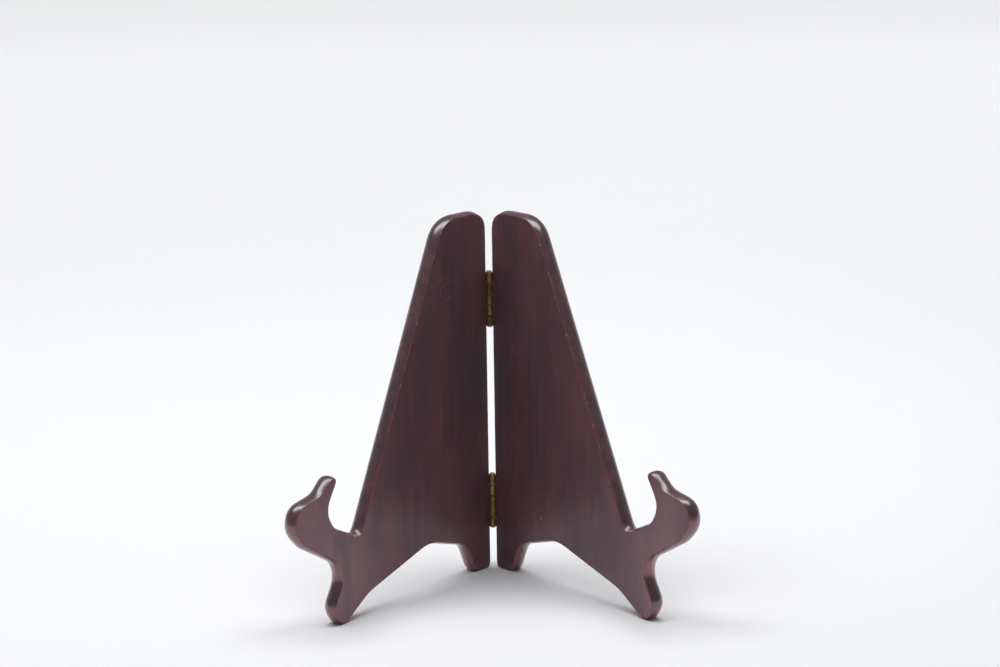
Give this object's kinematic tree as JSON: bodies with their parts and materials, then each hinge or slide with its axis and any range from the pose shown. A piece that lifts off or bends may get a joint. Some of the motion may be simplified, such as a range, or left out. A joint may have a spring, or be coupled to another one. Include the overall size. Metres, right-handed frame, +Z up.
{
  "type": "folding plate stand",
  "caption": "Folding wooden display stand: mirrored shaped boards, hinged at the back, open into a V and hold a plate on edge in their seats behind upright prongs.",
  "frame": {"origin": "bottom centre of the object's box, on the table, with the stand open for use", "axes": "+Z up, front of the stand and the plate towards -Y, hinges at the back towards +Y, +X to the viewer's right"},
  "size_m": [0.178, 0.1106, 0.17],
  "materials": {
    "stained_wood": "dark mahogany stain under satin lacquer, worn red at the arrises",
    "hinge_brass": "rolled sheet brass, satin, lightly tarnished",
    "fixing_brass": "turned brass, semi-bright"
  },
  "bodies": {
    "left_side": {"left_wing": "stained_wood", "lower_hinge_left_leaf": "hinge_brass", "upper_hinge_left_leaf": "hinge_brass", "lower_hinge_pin": "fixing_brass", "upper_hinge_pin": "fixing_brass", "lower_hinge_left_bottom_screw": "fixing_brass", "lower_hinge_left_top_screw": "fixing_brass", "upper_hinge_left_bottom_screw": "fixing_brass", "upper_hinge_left_top_screw": "fixing_brass"},
    "right_side": {"right_wing": "stained_wood", "lower_hinge_right_leaf": "hinge_brass", "upper_hinge_right_leaf": "hinge_brass", "lower_hinge_right_bottom_screw": "fixing_brass", "lower_hinge_right_top_screw": "fixing_brass", "upper_hinge_right_bottom_screw": "fixing_brass", "upper_hinge_right_top_screw": "fixing_brass"}
  },
  "joints": [
    {"name": "wing_fold", "type": "hinge", "parent": "left_side", "child": "right_side", "pos_m": [0, 0.0514, 0], "axis": [0, 0, 1], "range_deg": [-76, 104]}
  ]
}
